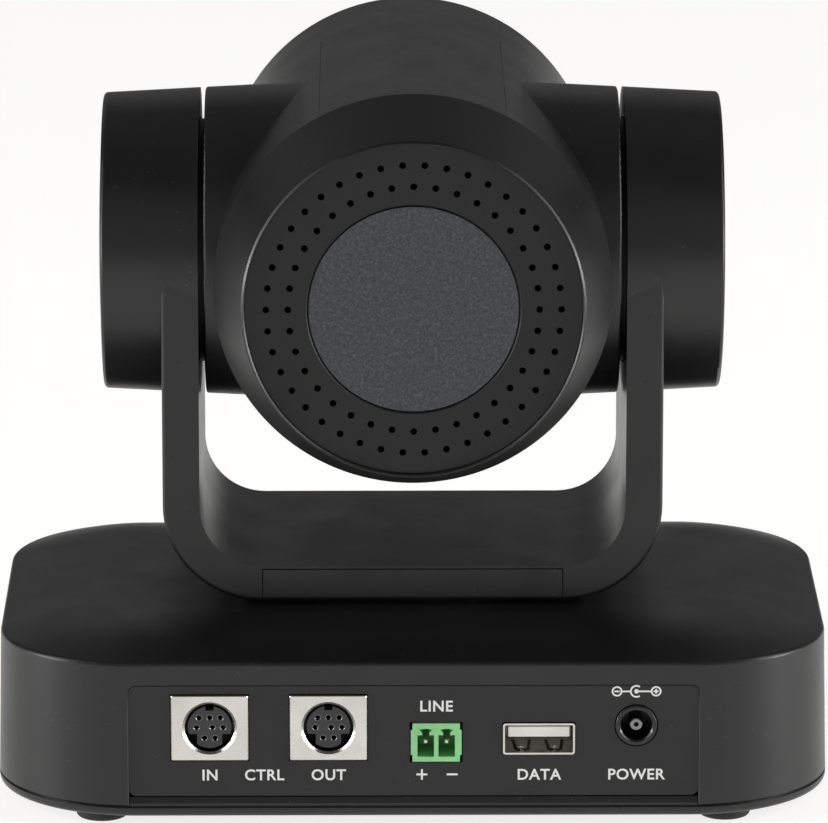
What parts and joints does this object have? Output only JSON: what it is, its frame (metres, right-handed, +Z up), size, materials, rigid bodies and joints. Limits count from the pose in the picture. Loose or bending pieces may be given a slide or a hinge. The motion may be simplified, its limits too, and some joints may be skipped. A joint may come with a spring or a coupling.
{
  "type": "ptz camera",
  "caption": "Pan-tilt-zoom conference camera: rounded box base with rear connector panel, U yoke with side drums and a round tilting head.",
  "frame": {"origin": "on the pan axis, at the surface that the feet stand on; it is also the middle of the object's box seen from above", "axes": "+Z up along the pan axis; +Y the way the lens looks at rest; the connector panel faces -Y; +X is right as seen from the connector side and is the tilt axis's direction"},
  "size_m": [0.1532, 0.112, 0.1338],
  "materials": {
    "shell": "fine satin charcoal moulded plastic",
    "panel": "matte charcoal plastic, printed white legends",
    "vent": "matte charcoal plastic",
    "badge": "dark grey with a fine metallic speckle",
    "rubber": "matte black rubber",
    "nickel": "satin nickel plate",
    "contact": "dull tin plate",
    "insulator": "dark grey plastic",
    "terminal": "pale green plastic",
    "tongue": "white plastic",
    "jack": "black satin plastic",
    "brass": "plain brass",
    "steel": "zinc-plated steel",
    "aluminium": "die-cast aluminium",
    "board": "green solder mask",
    "nylon": "off-white acetal",
    "bronze": "sintered bronze",
    "ir_filter": "very dark red infrared-pass plastic",
    "glass": "coated optical glass",
    "lens_black": "matte black anodised look",
    "sensor": "dark sensor glass"
  },
  "bodies": {
    "base": {"base_housing": "shell", "bottom_plate": "shell", "rubber_feet": "rubber", "tripod_insert": "brass", "base_screws": "steel", "main_board": "board", "din_in_shell": "nickel", "din_in_insert": "insulator", "din_out_shell": "nickel", "din_out_insert": "insulator", "terminal_header": "terminal", "terminal_pins": "nickel", "usb_shell": "nickel", "usb_tongue": "tongue", "dc_jack_body": "jack", "dc_jack_pin": "contact", "rear_panel": "panel", "ir_window": "ir_filter", "pan_plate": "aluminium", "pan_bearing": "steel", "pan_motor": "steel"},
    "yoke": {"pan_hub": "aluminium", "pan_gear": "nylon", "yoke_frame": "shell", "left_drum_plate": "shell", "right_drum_plate": "shell", "left_drum_cap": "shell", "right_drum_cap": "shell", "left_tilt_bush": "bronze", "right_tilt_bush": "bronze", "bar_cover": "shell", "yoke_spine": "steel", "spine_screws": "steel", "tilt_motor": "steel"},
    "pan_drive_pinion": {"pan_pinion": "brass"},
    "tilt_drive_pinion": {"tilt_pinion": "brass"},
    "head": {"barrel_housing": "shell", "barrel_top_panel": "shell", "rear_cap": "shell", "vent_plate": "vent", "badge_disc": "badge", "left_trunnion": "lens_black", "right_trunnion": "lens_black", "tilt_gear": "nylon", "front_bezel": "shell", "front_window": "glass", "head_chassis": "aluminium", "chassis_screws": "steel", "lens_tube": "lens_black", "guide_rods": "steel", "front_lens": "glass", "front_lens_cell": "lens_black", "sensor_board": "board", "image_sensor": "sensor"},
    "zoom_group": {"zoom_carrier": "lens_black", "zoom_lens": "glass"},
    "focus_group": {"focus_carrier": "lens_black", "focus_lens": "glass"}
  },
  "joints": [
    {"name": "pan", "type": "hinge", "parent": "base", "child": "yoke", "pos_m": [0, 0, 0.0347], "axis": [0, 0, 1], "range_deg": [-170, 170]},
    {"name": "tilt", "type": "hinge", "parent": "yoke", "child": "head", "pos_m": [0, 0, 0.0976], "axis": [1, 0, 0], "range_deg": [-28, 28]},
    {"name": "pan_pinion_spin", "type": "hinge", "parent": "base", "child": "pan_drive_pinion", "pos_m": [0, 0.024, 0.0274], "axis": [0, 0, 1], "range_deg": [-860, 860]},
    {"name": "tilt_pinion_spin", "type": "hinge", "parent": "yoke", "child": "tilt_drive_pinion", "pos_m": [0.0414, 0, 0.0826], "axis": [1, 0, 0], "range_deg": [-125, 125]},
    {"name": "zoom", "type": "slide", "parent": "head", "child": "zoom_group", "axis": [0, 1, 0], "range_m": [0, 0.014]},
    {"name": "focus", "type": "slide", "parent": "head", "child": "focus_group", "axis": [0, 1, 0], "range_m": [-0.004, 0.006]}
  ],
  "couplings": [
    {"joint": "pan_pinion_spin", "follows": "pan", "ratio": -5},
    {"joint": "tilt_pinion_spin", "follows": "tilt", "ratio": -4}
  ]
}
